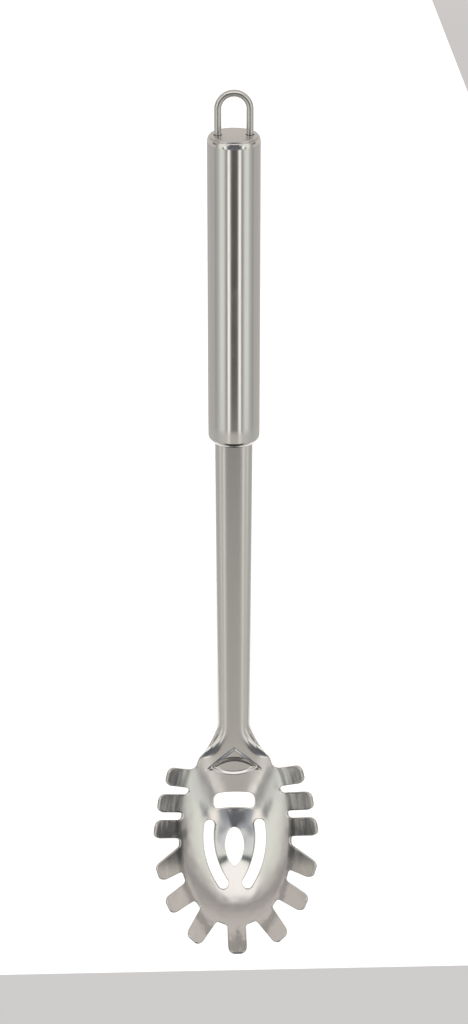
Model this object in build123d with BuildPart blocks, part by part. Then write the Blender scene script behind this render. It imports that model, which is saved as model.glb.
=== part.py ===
from build123d import *
from math import cos, hypot, pi, radians, sin, sqrt, tan, tanh
import os

# A pasta server hung by its loop: +Z up the handle, the bowl opens to -Y, X runs across.
# The origin is the inside top of the hanging loop, where a hook carries it.

# Handle tube
tube_diameter = 19.0
tube_wall = 0.8
tube_length = 115.5
shoulder_height = 2.3
shoulder_inset = 0.45
foot_radius = 3.2

# End cap, a pressed cup in the top of the tube
cap_sheet = 0.7
cap_ledge = 0.35
cap_skirt = 5.0
cap_edge_radius = 0.3
cap_clearance = 0.1

# Hanging loop of wire
wire_diameter = 2.5
leg_spacing = 11.3
loop_rise = 16.2
leg_below_cap = 9.0
leg_clearance = 0.3

# Shank, a channel open to the back that runs on into the tube
sheet = 1.1
shank_width_top = 13.9
shank_width_foot = 12.5
shank_length = 117.75
channel_depth = 5.4
channel_front = 2.8
channel_squareness = 3.2
tang_length = 32.0
shank_clearance = 0.12

# Neck, where the channel opens out into the head
flare_length = 19.5
flare_width = 30.0
flare_squareness = 5.0
flare_opening = 46.0
neck_length = 14.0
neck_above_rim = 3.0
neck_step = 0.03

# Bowl, measured in the plane of its rim, which leans forward
rim_lean = 23.0
rim_half_width = 21.9
rim_up = 37.0
rim_down = 31.6
rim_centre = 30.0
rim_change = 8.0
wall_up = 46.0
wall_slope = 0.95
tine_slope = 1.28
wall_bend = 3.0
floor_set_back = 0.6
floor_start = 10.0
floor_radius = 48.0
floor_easing = 6.0
bowl_easing = 8.0
bowl_drop = 0.9
crossing_radius = 46.0
crossing_start = 6.0
crossing_change = 8.0

# Tines, each side from the neck round to the foot, and one at the foot
tine_width = 7.1
tine_length = 10.0
tine_tip_radius = 2.4
tine_root = 6.0
neck_corner_radius = 2.5
gap_radius = 1.25
tine_places = (-43.7, -26.0, -9.7, 12.2, 35.6, 61.0, 90.0)
tine_turns = (-13.5, -9.0, -9.0, 17.0, 24.0, 48.0, 90.0)
tine_length_shares = (1.06, 1.01, 0.98, 0.93, 0.95, 1.0, 0.9)
tine_taper_shares = (0, 0, 0, 0.27, 0.09, 0.1, 0)

# Slots punched in the floor of the bowl
cross_slot_width = 15.7
cross_slot_height = 6.4
cross_slot_place = 14.3
cross_slot_rise = 0.5
cross_slot_corner = 2.4
oval_half_width = 3.6
oval_top = 24.75
oval_widest = 31.5
oval_foot = 40.2
oval_foot_radius = 0.9
side_slot_width = 4.1
side_slot_top = 23.4
side_slot_top_x = 9.6
side_slot_middle = 35.0
side_slot_middle_x = 9.2
side_slot_foot = 45.8
side_slot_foot_x = 4.6

# Dimple pressed into the neck: a lens with a three-cornered brow over it
dimple_place = 0.4
dimple_half_width = 9.15
dimple_rise = 4.0
dimple_drop = 3.6
dimple_depth = 1.1
dimple_narrowing = 1.8
brow_half_width = 9.6
brow_rise = 8.6
brow_height = 0.6
brow_narrowing = 4.5
brow_fall = 3.0

# Cuts run this far past what they cut
overrun = 5.0

# Sections of the lofts, and the points of their outlines
dish_section_count = 12
dish_point_count = 17
neck_section_count = 6
neck_point_count = 11

# Places that follow from the sizes
tube_radius = tube_diameter / 2
cap_radius = tube_radius - shoulder_inset - cap_ledge
throat_radius = tube_radius - shoulder_inset - tube_wall
wire_radius = wire_diameter / 2
leg_x = leg_spacing / 2
cap_top = wire_diameter - loop_rise
tube_top = cap_top - cap_sheet
tube_foot = tube_top - tube_length
shank_foot = tube_foot - shank_length
neck_foot = shank_foot - neck_length

lean = radians(rim_lean)
down_rim = Vector(0, -sin(lean), -cos(lean))
out_of_rim = Vector(0, -cos(lean), sin(lean))
rim_z = neck_foot - neck_above_rim * cos(lean)
rim_origin = Vector(0, -channel_front, rim_z)
rim_plane = Plane(origin=rim_origin, x_dir=(1, 0, 0), z_dir=out_of_rim)


def soft_max(a, b, easing):
    """The larger of two values, eased where they meet."""
    return (a + b + hypot(a - b, easing)) / 2


def outside_rim(x, down):
    """Distance outside the egg-shaped rim, negative inside it."""
    share = (1 + tanh((down - rim_centre) / rim_change)) / 2
    reach = wall_up + (rim_down - wall_up) * share
    across = x / rim_half_width
    along = (down - rim_centre) / reach
    ratio = max(hypot(across, along), 0.1)
    steepness = hypot(across / rim_half_width, along / reach) / ratio
    return (ratio - 1) / max(steepness, 1 / wall_up)


def rise(x, down):
    """Height of the front face above the rim plane, negative down in the bowl."""
    out = outside_rim(x, down)
    bend = tine_slope - wall_slope
    wall = wall_slope * out + bend * (out + hypot(out, wall_bend) - wall_bend) / 2
    turned = soft_max(down - floor_start, 0, floor_easing)
    floor = turned**2 / (2 * floor_radius) - floor_set_back - down * tan(lean)
    crossing = (1 + tanh((down - crossing_start) / crossing_change)) / 2
    floor += crossing * x**2 / (2 * crossing_radius)
    return soft_max(floor, wall, bowl_easing) - bowl_drop


def rise_of_back(x, down):
    """Height of the back face, one sheet behind the front along its normal."""
    step = sheet / 10
    slope_x = (rise(x + step, down) - rise(x - step, down)) / (2 * step)
    slope_down = (rise(x, down + step) - rise(x, down - step)) / (2 * step)
    return rise(x, down) - sheet * sqrt(1 + slope_x**2 + slope_down**2)


def arch(half_width, squareness, opened, behind, count=neck_point_count):
    """Points across the channel from one edge over the front crown to the other.

    The channel is a squared ellipse, of which the neck keeps a flatter and flatter middle.
    The points lie behind the front face by a distance along its normal.
    """
    reach = half_width / cos(opened) ** (2 / squareness)
    points = []
    for i in range(count):
        turn = opened + (pi - 2 * opened) * i / (count - 1)
        side = -1 if i < count // 2 else 1
        across = abs(cos(turn)) ** (2 / squareness)
        forward = max(sin(turn), 0) ** (2 / squareness)
        normal_x = side * across ** (squareness - 1) / reach
        normal_y = forward ** (squareness - 1) / channel_depth
        length = hypot(normal_x, normal_y)
        x = side * reach * across - behind * normal_x / length
        y = channel_depth * forward - behind * normal_y / length
        points.append((x, channel_depth - channel_front - y))
    return points


def dish_line(down, half_width, height, lift, count):
    """Points across the dish at one place down the rim plane."""
    points = []
    for i in range(count):
        x = half_width * (2 * i / (count - 1) - 1)
        points.append((x, -height(x, down) - lift))
    return points


def section_plane(down):
    """A plane square to the rim plane, with its own Y towards the back."""
    return Plane(origin=rim_origin + down_rim * down, x_dir=(1, 0, 0), z_dir=-down_rim)


def flare_share(down):
    """How far the neck has opened at one place below the foot of the shank."""
    return (1 - cos(pi * down / flare_length)) / 2


def egg_point(place):
    """A point of the outline's egg, in its sketch, from an angle measured towards the foot."""
    reach = rim_up if place < 0 else rim_down
    turned = radians(place)
    return rim_half_width * cos(turned), -rim_centre - reach * sin(turned)


def on_egg(x, y):
    """True at the inner corners of the gaps, where a tine leaves the egg."""
    reach = rim_up if y > -rim_centre else rim_down
    off = hypot(x / rim_half_width, (y + rim_centre) / reach) - 1
    return abs(off) < 1e-4 and abs(y + rim_centre) > gap_radius / 10


neck_flared = flare_share(neck_length)
neck_half = (shank_width_foot + (flare_width - shank_width_foot) * neck_flared) / 2
dimple_origin = (0, -channel_front, rim_z - dimple_place)
dimple_plane = Plane(origin=dimple_origin, x_dir=(1, 0, 0), z_dir=(0, 1, 0))


# The side slots follow two curves down the floor of the bowl
side_curves = []
for side in (1, -1):
    slot_top = (side * side_slot_top_x, -side_slot_top)
    slot_middle = (side * side_slot_middle_x, -side_slot_middle)
    slot_foot = (side * side_slot_foot_x, -side_slot_foot)
    side_curves.append(ThreePointArc(slot_top, slot_middle, slot_foot))

# The dish of the head is lofted wide, with its walls running on up the tines
with BuildPart() as dish:
    tine_reach = tine_length + tine_width
    half_width = rim_half_width + tine_reach
    length = neck_above_rim + rim_centre + rim_down + tine_reach
    for i in range(dish_section_count):
        down = length * i / (dish_section_count - 1) - neck_above_rim
        with BuildSketch(section_plane(down)):
            with BuildLine():
                front = Spline(*dish_line(down, half_width, rise, 0, dish_point_count))
                back = Spline(*dish_line(down, half_width, rise_of_back, 0, dish_point_count))
                Line(front @ 0, back @ 0)
                Line(front @ 1, back @ 1)
            make_face()
    loft()

    # Its outline: the egg, the neck, and the tines set round the egg
    roots = [egg_point(place) for place in tine_places]
    with BuildSketch(rim_plane) as outline:
        with BuildLine():
            EllipticalCenterArc((0, -rim_centre), rim_half_width, rim_up, 0, arc_size=180)
            EllipticalCenterArc((0, -rim_centre), rim_half_width, rim_down, 180, arc_size=180)
        make_face()
        with BuildLine():
            corner = roots[0]
            Polyline(
                (-neck_half, neck_above_rim),
                (neck_half, neck_above_rim),
                (corner[0], corner[1]),
                (-corner[0], corner[1]),
                close=True,
            )
        make_face()
        shares = zip(tine_length_shares, tine_taper_shares)
        for root, turn, (share, taper) in zip(roots, tine_turns, shares):
            length = tine_length * share
            middle = (length - tine_root) / 2
            inner = -(length + tine_root) / 2
            corner_start = -inner - tine_tip_radius
            for side in (1, -1):
                angle = -turn if side > 0 else turn - 180
                x = side * (root[0] + middle * cos(radians(turn)))
                y = root[1] - middle * sin(radians(turn))
                with Locations(Location((x, y, 0), angle)):
                    RectangleRounded(length + tine_root, tine_width, tine_tip_radius)
                    if taper:
                        edge = side * tine_width / 2
                        wider = edge + side * taper * (corner_start - inner)
                        wedge = [(corner_start, edge), (inner, wider), (inner, edge)]
                        Polygon(*wedge[::side], align=None)
        inner_corners = outline.vertices().filter_by(lambda v: on_egg(v.X, v.Y))
        fillet(inner_corners, gap_radius)
        neck_corners = outline.vertices().filter_by(
            lambda v: neck_half < abs(v.X) < corner[0] and abs(v.Y) < neck_above_rim * 0.9
        )
        fillet(neck_corners, neck_corner_radius)
    extrude(amount=half_width, both=True, mode=Mode.INTERSECT)

    # Slots and the oval hole are punched square to the rim plane
    with BuildSketch(rim_plane) as cross_slot:
        with BuildLine():
            w = cross_slot_width / 2
            top = cross_slot_height / 2 - cross_slot_place
            low = -cross_slot_height / 2 - cross_slot_place
            upper = ThreePointArc((-w, top), (0, top + cross_slot_rise), (w, top))
            lower = ThreePointArc((-w, low), (0, low + cross_slot_rise), (w, low))
            Line(upper @ 0, lower @ 0)
            Line(upper @ 1, lower @ 1)
        make_face()
        fillet(cross_slot.vertices(), cross_slot_corner)
    extrude(amount=half_width, both=True, mode=Mode.SUBTRACT)
    with BuildSketch(rim_plane) as floor_holes:
        with BuildLine():
            half = oval_half_width
            round_top = oval_widest - oval_top
            EllipticalCenterArc((0, -oval_widest), half, round_top, 0, arc_size=180)
            TangentArc((-half, -oval_widest), (0, -oval_foot), tangent=(0, -1))
            TangentArc((half, -oval_widest), (0, -oval_foot), tangent=(0, -1))
        make_face()
        fillet(floor_holes.vertices().sort_by(Axis.Y)[0], oval_foot_radius)
        for curve in side_curves:
            SlotArc(curve, side_slot_width)
    extrude(amount=half_width, both=True, mode=Mode.SUBTRACT)

# Head and shank, one pressing: first the channel, which runs on as a tang in the tube
with BuildPart() as head_and_shank:
    tang_top = tube_foot + tang_length
    taper = (shank_width_top - shank_width_foot) / shank_length
    tang_width = shank_width_top + taper * tang_length
    for z, width in ((tang_top, tang_width), (shank_foot, shank_width_foot)):
        with BuildSketch(Plane.XY.offset(z)):
            with BuildLine():
                front = Spline(*arch(width / 2, channel_squareness, 0, 0))
                back = Spline(*arch(width / 2, channel_squareness, 0, sheet))
                Line(front @ 0, back @ 0)
                Line(front @ 1, back @ 1)
            make_face()
    loft(ruled=True)

    # The neck opens the channel out, flattens it, leans over and meets the top of the dish
    for i in range(neck_section_count):
        share = i / neck_section_count
        flared = flare_share(neck_length * share)
        half_width = (shank_width_foot + (flare_width - shank_width_foot) * flared) / 2
        opened = radians(flare_opening) * flared
        squareness = channel_squareness + (flare_squareness - channel_squareness) * flared
        leant = lean * share**2
        centre = (0, 0, shank_foot - neck_length * share)
        up_neck = (0, sin(leant), cos(leant))
        with BuildSketch(Plane(origin=centre, x_dir=(1, 0, 0), z_dir=up_neck)):
            with BuildLine():
                front = Spline(*arch(half_width, squareness, opened, 0))
                back = Spline(*arch(half_width, squareness, opened, sheet))
                Line(front @ 0, back @ 0)
                Line(front @ 1, back @ 1)
            make_face()
    with BuildSketch(section_plane(-neck_above_rim)):
        with BuildLine():
            down = -neck_above_rim
            half_width = neck_half - neck_step
            front = Spline(*dish_line(down, half_width, rise, -neck_step, neck_point_count))
            back = Spline(*dish_line(down, half_width, rise_of_back, neck_step, neck_point_count))
            Line(front @ 0, back @ 0)
            Line(front @ 1, back @ 1)
        make_face()
    loft()
    add(dish.part)

    # The brow stands forward of the neck, and slopes back to it on every side
    for depth, narrowing, fall in ((sheet / 2, 0, 0), (-brow_height, brow_narrowing, brow_fall)):
        with BuildSketch(dimple_plane.offset(depth)):
            side = brow_half_width - narrowing
            with BuildLine():
                Polyline((-side, 0), (0, fall - brow_rise), (side, 0), close=True)
            make_face()
    loft(ruled=True)

    # The dimple is pushed back through the sheet, which bulges behind it
    for grow, start, mode in ((sheet, sheet / 2, Mode.ADD), (0, -sheet, Mode.SUBTRACT)):
        for depth, narrowing in ((start, 0), (dimple_depth + grow, dimple_narrowing)):
            with BuildSketch(dimple_plane.offset(depth)):
                with BuildLine():
                    side = dimple_half_width - narrowing + grow
                    up = dimple_rise - narrowing + grow
                    drop = dimple_drop - narrowing + grow
                    ThreePointArc((-side, 0), (0, -up), (side, 0))
                    ThreePointArc((-side, 0), (0, drop), (side, 0))
                make_face()
        loft(ruled=True, mode=mode)
head_and_shank.part.label = "head_and_shank"

# Handle tube, closed in round the shank at its foot
with BuildPart() as handle_tube:
    for inset, mode in ((0, Mode.ADD), (tube_wall, Mode.SUBTRACT)):
        with BuildSketch(Plane.XZ):
            with BuildLine():
                side = tube_radius - inset
                lip = side - shoulder_inset
                foot_side = tube_radius - foot_radius
                foot = tube_foot + inset
                Line((0, tube_top), (0, foot))
                Line((0, foot), (foot_side, foot))
                foot_centre = (foot_side, tube_foot + foot_radius)
                CenterArc(foot_centre, foot_radius - inset, 270, 90)
                Line((side, tube_foot + foot_radius), (side, tube_top - shoulder_height))
                centre = (lip, tube_top - shoulder_height)
                EllipticalCenterArc(centre, shoulder_inset, shoulder_height, 0, arc_size=90)
                Line((lip, tube_top), (0, tube_top))
            make_face()
        revolve(axis=Axis.Z, mode=mode)
    with BuildSketch(Plane.XY.offset(tube_foot - overrun)):
        with BuildLine():
            half = shank_width_top / 2
            edge = arch(half, channel_squareness, 0, -shank_clearance)
            back = channel_depth - channel_front + shank_clearance
            hull = Spline(*edge)
            Polyline(hull @ 0, (edge[0][0], back), (edge[-1][0], back), hull @ 1)
        make_face()
    extrude(amount=overrun + foot_radius, mode=Mode.SUBTRACT)
handle_tube.part.label = "handle_tube"

# End cap, whose flange lies on the tube and whose skirt goes down inside it
with BuildPart() as end_cap:
    with Locations((0, 0, cap_top)):
        Cylinder(cap_radius, cap_sheet, align=(Align.CENTER, Align.CENTER, Align.MAX))
    fillet(end_cap.edges().group_by(Axis.Z)[-1], cap_edge_radius)
    with BuildSketch(Plane.XY.offset(tube_top)):
        Circle(throat_radius - cap_clearance)
        Circle(throat_radius - cap_clearance - cap_sheet, mode=Mode.SUBTRACT)
    extrude(amount=-cap_skirt)
    with Locations((-leg_x, 0, cap_top), (leg_x, 0, cap_top)):
        Hole(wire_radius + leg_clearance)
end_cap.part.label = "end_cap"

# Hanging loop, one wire with both legs down through the cap
with BuildPart() as hanging_loop:
    leg_foot = tube_top - leg_below_cap
    bend_z = wire_radius - leg_x
    with BuildLine():
        Line((-leg_x, 0, leg_foot), (-leg_x, 0, bend_z))
        ThreePointArc((-leg_x, 0, bend_z), (0, 0, wire_radius), (leg_x, 0, bend_z))
        Line((leg_x, 0, bend_z), (leg_x, 0, leg_foot))
    with BuildSketch(Plane(origin=(-leg_x, 0, leg_foot), z_dir=(0, 0, 1))):
        Circle(wire_radius)
    sweep()
hanging_loop.part.label = "hanging_loop"

os.makedirs("parts", exist_ok=True)
export_step(head_and_shank.part, "parts/head_and_shank.step")
export_step(handle_tube.part, "parts/handle_tube.step")
export_step(end_cap.part, "parts/end_cap.step")
export_step(hanging_loop.part, "parts/hanging_loop.step")
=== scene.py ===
# %% [markdown]
# # A steel pasta server
#
# A server of this kind is four pieces of stainless steel: one long pressing that is both the
# toothed bowl and the shank, a round hollow handle, a small cap in its top, and a wire loop to
# hang it by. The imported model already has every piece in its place. This lesson dresses it: the
# pieces are made again with finer faces, and each gets the finish that its making leaves on it.

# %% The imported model
import math
import bmesh
import bpy
import numpy as np
from mathutils import Matrix, Vector
from mathutils.geometry import delaunay_2d_cdt
from mathutils.kdtree import KDTree


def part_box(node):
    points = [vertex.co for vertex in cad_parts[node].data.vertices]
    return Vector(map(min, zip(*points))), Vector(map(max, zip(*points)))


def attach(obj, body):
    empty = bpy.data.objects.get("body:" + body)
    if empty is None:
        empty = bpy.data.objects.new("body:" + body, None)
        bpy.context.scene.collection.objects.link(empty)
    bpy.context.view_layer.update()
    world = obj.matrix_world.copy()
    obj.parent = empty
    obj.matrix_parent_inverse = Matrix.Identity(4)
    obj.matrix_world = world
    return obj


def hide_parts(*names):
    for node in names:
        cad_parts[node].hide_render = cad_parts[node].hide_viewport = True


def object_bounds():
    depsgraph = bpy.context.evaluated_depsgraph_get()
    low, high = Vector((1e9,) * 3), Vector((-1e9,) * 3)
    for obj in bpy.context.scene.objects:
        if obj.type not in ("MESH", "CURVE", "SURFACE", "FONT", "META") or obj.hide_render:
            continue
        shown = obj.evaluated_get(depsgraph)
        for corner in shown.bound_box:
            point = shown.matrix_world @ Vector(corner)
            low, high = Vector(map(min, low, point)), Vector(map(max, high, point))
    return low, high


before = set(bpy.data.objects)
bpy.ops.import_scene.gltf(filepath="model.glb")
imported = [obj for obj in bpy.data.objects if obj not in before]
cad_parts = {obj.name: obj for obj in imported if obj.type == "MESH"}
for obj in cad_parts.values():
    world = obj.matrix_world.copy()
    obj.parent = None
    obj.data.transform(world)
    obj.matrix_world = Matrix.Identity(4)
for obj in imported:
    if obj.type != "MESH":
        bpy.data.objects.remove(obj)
MM = 0.001
cad_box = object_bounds()
print("nodes:", sorted(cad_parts))
print("box in mm:", [[round(c / MM, 1) for c in corner] for corner in cad_box])

# %% [markdown]
# ## Where the picture is taken from
#
# The picture is a studio shot from a little more than a metre away, looking down on the hanging
# server by 24 degrees. A long lens keeps the handle and the bowl nearly at one scale. The
# camera's own axes are worked out first, so that its place and its turn come from one rule:
# the columns of a turning matrix are the directions that the turned thing calls x, y and z.

# %% Camera
camera_distance = 1084.8 * MM
camera_elevation = math.radians(24.3)
camera_azimuth = math.radians(-2.1)
picture_middle = Vector((0, 0, -158.6 * MM))
axis_shift = 0.05 * MM

towards = Vector((
    math.sin(camera_azimuth) * math.cos(camera_elevation),
    -math.cos(camera_azimuth) * math.cos(camera_elevation),
    math.sin(camera_elevation),
))
rightwards = Vector((math.cos(camera_azimuth), math.sin(camera_azimuth), 0))
upwards = towards.cross(rightwards)



def in_scene(name, data):
    """A new object, put in the scene."""
    made = bpy.data.objects.new(name, data)
    bpy.context.scene.collection.objects.link(made)
    return made


camera_data = bpy.data.cameras.new("studio_camera")
camera = in_scene("studio_camera", camera_data)
camera_data.lens = 103.0
camera_data.sensor_width = 36.0
turn = Matrix((rightwards, upwards, towards)).transposed()
place = picture_middle + towards * camera_distance + rightwards * axis_shift
camera.matrix_world = Matrix.Translation(place) @ turn.to_4x4()
bpy.context.scene.camera = camera
print("camera at", [round(c, 3) for c in camera.matrix_world.translation])

# %% [markdown]
# ## Nodes that read like sums
#
# Both the shape of the pressing and every finish are formulas, and in Blender a formula is a
# tree of nodes. Written out node by node it can't be read, so one small class holds a socket
# and lets Python's own signs make the Math nodes. All other nodes come from one method.


# %% A socket that can be calculated with
class Value:
    """One socket of a tree, which Python can add, multiply and raise."""

    def __init__(self, tree, socket):
        self.tree = tree
        self.socket = socket

    def of(self, name):
        """Another output of the same node."""
        return Value(self.tree, self.socket.node.outputs[name])

    def __add__(self, other):
        return self.tree.math("ADD", self, other)

    def __sub__(self, other):
        return self.tree.math("SUBTRACT", self, other)

    def __rsub__(self, other):
        return self.tree.math("SUBTRACT", other, self)

    def __mul__(self, other):
        return self.tree.math("MULTIPLY", self, other)

    def __truediv__(self, other):
        return self.tree.math("DIVIDE", self, other)

    def __rtruediv__(self, other):
        return self.tree.math("DIVIDE", other, self)

    def __pow__(self, other):
        return self.tree.math("POWER", self, other)

    def __neg__(self):
        return self.tree.math("MULTIPLY", self, -1.0)

    __radd__ = __add__
    __rmul__ = __mul__


class Tree:
    """A node tree with one way to make a node."""

    def __init__(self, node_tree):
        self.made = node_tree
        self.made.nodes.clear()

    def node(self, kind, settings=None, inputs=None, output=0):
        """Makes a node: its settings first, then the values or links of its sockets."""
        node = self.made.nodes.new(kind)
        for name, value in (settings or {}).items():
            if name == "stops":
                ramp = node.color_ramp
                while len(ramp.elements) < len(value):
                    ramp.elements.new(1.0)
                for element, (position, colour) in zip(ramp.elements, value):
                    element.position = position
                    element.color = (*colour, 1.0)
            else:
                setattr(node, name, value)
        for name, value in (inputs or {}).items():
            if isinstance(value, Value):
                self.made.links.new(value.socket, node.inputs[name])
            else:
                node.inputs[name].default_value = value
        if not node.outputs:
            return node
        return Value(self, node.outputs[output])

    def math(self, operation, *values):
        """A Math node on numbers and sockets."""
        return self.node("ShaderNodeMath", {"operation": operation}, dict(enumerate(values)))

    def vector(self, operation, *values):
        """A Vector Math node. Its factor for SCALE is a socket with a name of its own."""
        slots = (0, "Scale") if operation == "SCALE" else range(len(values))
        return self.node(
            "ShaderNodeVectorMath", {"operation": operation}, dict(zip(slots, values))
        )

    def xyz(self, x, y, z):
        """A vector from three numbers."""
        return self.node("ShaderNodeCombineXYZ", None, {0: x, 1: y, 2: z})

    def split(self, vector):
        """The three numbers of a vector."""
        x = self.node("ShaderNodeSeparateXYZ", None, {0: vector})
        return x, x.of("Y"), x.of("Z")

    def hypot(self, a, b):
        """The long side of a right-angled triangle."""
        return self.math("SQRT", a * a + b * b)

    def soft_max(self, a, b, easing):
        """The larger of two values, with a round corner where they cross."""
        return (a + b + self.hypot(a - b, self.number(easing))) * 0.5

    def number(self, value):
        """A plain number as a socket, where a formula needs one on its left."""
        return value if isinstance(value, Value) else self.math("ADD", float(value), 0.0)

    def step(self, value, start, end):
        """0 below start, 1 above end and a smooth rise between."""
        return self.node(
            "ShaderNodeMapRange",
            {"interpolation_type": "SMOOTHSTEP"},
            {"Value": value, "From Min": start, "From Max": end},
        )

    def ramp(self, place, stops):
        """A colour read from a ramp of (place, colour) stops."""
        return self.node("ShaderNodeValToRGB", {"stops": stops}, {"Fac": place})

    def mix(self, share, first, second):
        """A colour between two others."""
        return self.node(
            "ShaderNodeMix", {"data_type": "RGBA"}, {"Factor": share, 6: first, 7: second}, output=2
        )


print("the node helpers are ready")

# %% [markdown]
# ## The pressing: sizes
#
# The bowl, its tines, the neck and the shank are one strip of sheet. In the works a flat blank
# is cut with all its slots, and two presses then give it its form. The lesson goes the same way:
# the blank is drawn flat, and a rule bends it. These are the sizes of the rule. The plane of the
# bowl's rim leans forward, and places on the blank are measured down that plane.

# %% Sizes of the pressing
sheet = 1.1 * MM
shank_width_top = 13.9 * MM
shank_width_foot = 12.5 * MM
shank_length = 117.75 * MM
channel_depth = 5.4 * MM
channel_front = 2.8 * MM
channel_squareness = 3.2
tang_length = 30.0 * MM
flare_length = 19.5 * MM
flare_width = 30.0 * MM
flare_squareness = 5.0
flare_opening = math.radians(46.0)
neck_length = 14.0 * MM
neck_above_rim = 3.0 * MM
neck_blend_start = 5.5 * MM
rim_lean = math.radians(23.0)
rim_half_width = 21.9 * MM
rim_up = 37.0 * MM
rim_down = 31.6 * MM
rim_centre = 30.0 * MM
wall_slope = 0.95
tine_slope = 1.28
floor_radius = 48.0 * MM

tube_top = -14.4 * MM
tube_length = 115.5 * MM
tube_foot = tube_top - tube_length
shank_foot = tube_foot - shank_length
neck_foot = shank_foot - neck_length
rim_z = neck_foot - neck_above_rim * math.cos(rim_lean)
down_rim = Vector((0, -math.sin(rim_lean), -math.cos(rim_lean)))
out_of_rim = Vector((0, -math.cos(rim_lean), math.sin(rim_lean)))
shank_blank = (shank_length + tang_length + neck_length) * math.cos(rim_lean)
print("blank above the rim, mm:", round(shank_blank / MM, 1))

# %% [markdown]
# ## The rule of the press
#
# The rule says where a point of the flat blank ends up. Inside the rim the sheet follows a long
# curve down the bowl and a gentle one across it. Outside the rim it climbs, and climbs a little
# harder where the tines bend up. The larger of the two heights wins, eased where they meet, which
# is what the round nose of a press does. Above the bowl the strip bends across into a channel.
# Geometry Nodes hold such a rule well: the sizes stay named inputs, and any blank can go in.


# %% How far a place is outside the rim
upper_reach = 46.0 * MM
change_length = 8.0 * MM


def changed(t, down, middle):
    """0 well above a place of the blank and 1 well below it."""
    return (1 + t.math("TANH", (down - middle) / change_length)) * 0.5


def outside_rim(t, x, down):
    """The distance from the egg of the rim, below 0 inside it."""
    reach = upper_reach + (rim_down - upper_reach) * changed(t, down, rim_centre)
    across = x / rim_half_width
    along = (down - rim_centre) / reach
    ratio = t.math("MAXIMUM", t.hypot(across, along), 0.1)
    steepness = t.hypot(across / rim_half_width, along / reach) / ratio
    return (ratio - 1) / t.math("MAXIMUM", steepness, 1 / upper_reach)


# %% Height of the bowl over its rim plane
tine_easing = 3.0 * MM
bowl_easing = 8.0 * MM
bowl_drop = 0.9 * MM
floor_start = 10.0 * MM
floor_easing = 6.0 * MM
floor_sink = 0.6 * MM
cross_start = 6.0 * MM
cross_radius = 46.0 * MM


def rise(t, x, down, wall_slope, tine_slope, floor_radius):
    """The larger of the wall's and the floor's height at one place of the blank."""
    out = outside_rim(t, x, down)
    tine_bend = tine_slope - wall_slope
    past_rim = (out + t.hypot(out, t.number(tine_easing)) - tine_easing) * 0.5
    wall = wall_slope * out + tine_bend * past_rim
    turned = t.soft_max(down - floor_start, t.number(0.0), floor_easing)
    floor = turned * turned / (floor_radius * 2) - floor_sink - down * math.tan(rim_lean)
    floor = floor + changed(t, down, cross_start) * x * x / (2 * cross_radius)
    return t.soft_max(floor - bowl_drop, wall - bowl_drop, bowl_easing)


# %% Section of the shank and the neck
def channel(t, x, below):
    """Where a point lands in the channel, below being its distance under the shank's foot."""
    opened = t.math("MAXIMUM", below, 0.0) * (math.pi / flare_length)
    flared = (1 - t.math("COSINE", opened)) * 0.5
    taper = (shank_width_top - shank_width_foot) / shank_length
    narrow = shank_width_foot + taper * t.math("MAXIMUM", -below, 0.0)
    half = (narrow + (flare_width - shank_width_foot) * flared) * 0.5
    power = channel_squareness + (flare_squareness - channel_squareness) * flared
    edge = t.math("TANGENT", flare_opening * flared) ** (2 / power)
    edge = t.math("ARCTANGENT", edge)
    angle = math.pi / 2 - (x / half) * (math.pi / 2 - edge)

    def round_squared(angle):
        across = t.math("ABSOLUTE", t.math("COSINE", angle)) ** power
        forward = t.math("ABSOLUTE", t.math("SINE", angle)) ** power
        return (across + forward) ** (-1 / power)

    reach = half / (round_squared(edge) * t.math("COSINE", edge))
    size = round_squared(angle)
    across = reach * size * t.math("COSINE", angle)
    forward = channel_depth * size * t.math("SINE", angle)
    return t.xyz(across, channel_depth - channel_front - forward, shank_foot - rim_z - below)


# %% [markdown]
# ## The press as a tree of Geometry Nodes
#
# The front face of the pressing is a group of its own, because it is asked for five times at each
# point: once for the place and four times close by, from which the direction square to the
# sheet follows. The blank's own thickness is then laid off along that direction, so the cut
# edges stay square to the sheet wherever the press has turned it.


# %% The front face as a node group
def group(name, wanted, given):
    """An empty group with named inputs and outputs."""
    tree = bpy.data.node_groups.new(name, "GeometryNodeTree")
    for label, kind, value in wanted:
        socket = tree.interface.new_socket(label, in_out="INPUT", socket_type=kind)
        if value is not None:
            socket.default_value = value
    for label, kind in given:
        tree.interface.new_socket(label, in_out="OUTPUT", socket_type=kind)
    return Tree(tree)


rule_sizes = (
    ("Wall slope", "NodeSocketFloat", wall_slope),
    ("Tine slope", "NodeSocketFloat", tine_slope),
    ("Floor radius", "NodeSocketFloat", floor_radius),
)
front = group(
    "front_of_pressing",
    (("Blank", "NodeSocketVector", None), *rule_sizes),
    (("Place", "NodeSocketVector"),),
)
given = front.node("NodeGroupInput")
x, down, depth = front.split(given.of("Blank"))
height = rise(
    front, x, down, given.of("Wall slope"), given.of("Tine slope"), given.of("Floor radius")
)
dish = front.vector(
    "ADD",
    front.xyz(x, -channel_front, 0.0),
    front.vector(
        "ADD",
        front.vector("SCALE", tuple(down_rim), down),
        front.vector("SCALE", tuple(out_of_rim), height),
    ),
)
below = neck_length + (down + neck_above_rim) / math.cos(rim_lean)
strip = channel(front, x, below)
blend = front.step(below, neck_blend_start, neck_length)
place = front.node(
    "ShaderNodeMix", {"data_type": "VECTOR"}, {"Factor": blend, 4: strip, 5: dish}, output=1
)
front.node("NodeGroupOutput", None, {"Place": place})
print("nodes in the rule:", len(front.made.nodes))


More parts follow.
